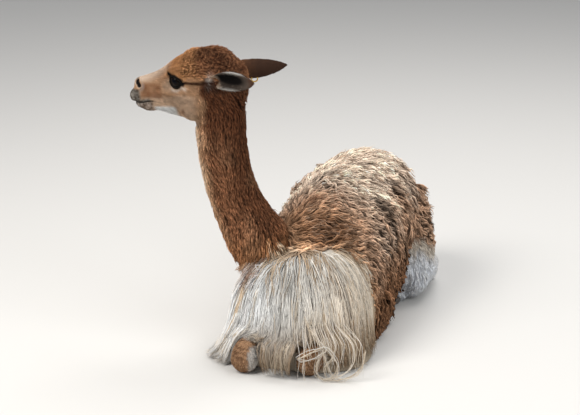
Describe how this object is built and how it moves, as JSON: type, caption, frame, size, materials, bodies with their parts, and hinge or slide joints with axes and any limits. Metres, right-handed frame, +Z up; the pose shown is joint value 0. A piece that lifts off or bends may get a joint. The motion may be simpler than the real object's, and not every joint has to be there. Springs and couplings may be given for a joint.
{
  "type": "vicuna",
  "caption": "Life-size still model of a vicuna lying down with folded legs, its neck raised and its head turned to its right, with a woolly fleece and a long pale chest bib.",
  "frame": {"origin": "on the floor under the middle of the chest pad", "axes": "+Z up, +Y from the chest to the tail, +X to the animal's left"},
  "size_m": [0.5987, 0.9109, 0.7605],
  "materials": {
    "fleece": "matted fawn wool in crimped locks",
    "short_fur": "short cinnamon fur with a soft sheen",
    "long_hair": "long straight cream hair",
    "eye": "wet black gloss",
    "toenail": "dull dark horn",
    "ear_tag": "yellow, slightly worn"
  },
  "bodies": {
    "root": {"trunk": "fleece", "tail": "fleece", "chest_bib": "long_hair", "neck": "short_fur", "head": "short_fur", "ear_left": "short_fur", "ear_right": "short_fur", "foreleg_left": "short_fur", "foreleg_right": "short_fur", "hindleg_left": "short_fur", "hindleg_right": "short_fur", "eye_left": "eye", "eye_right": "eye", "toenail_foreleg_left_1": "toenail", "toenail_foreleg_left_2": "toenail", "toenail_foreleg_right_1": "toenail", "toenail_foreleg_right_2": "toenail", "toenail_hindleg_left_1": "toenail", "toenail_hindleg_left_2": "toenail", "toenail_hindleg_right_1": "toenail", "toenail_hindleg_right_2": "toenail", "ear_tag": "ear_tag"}
  },
  "joints": []
}
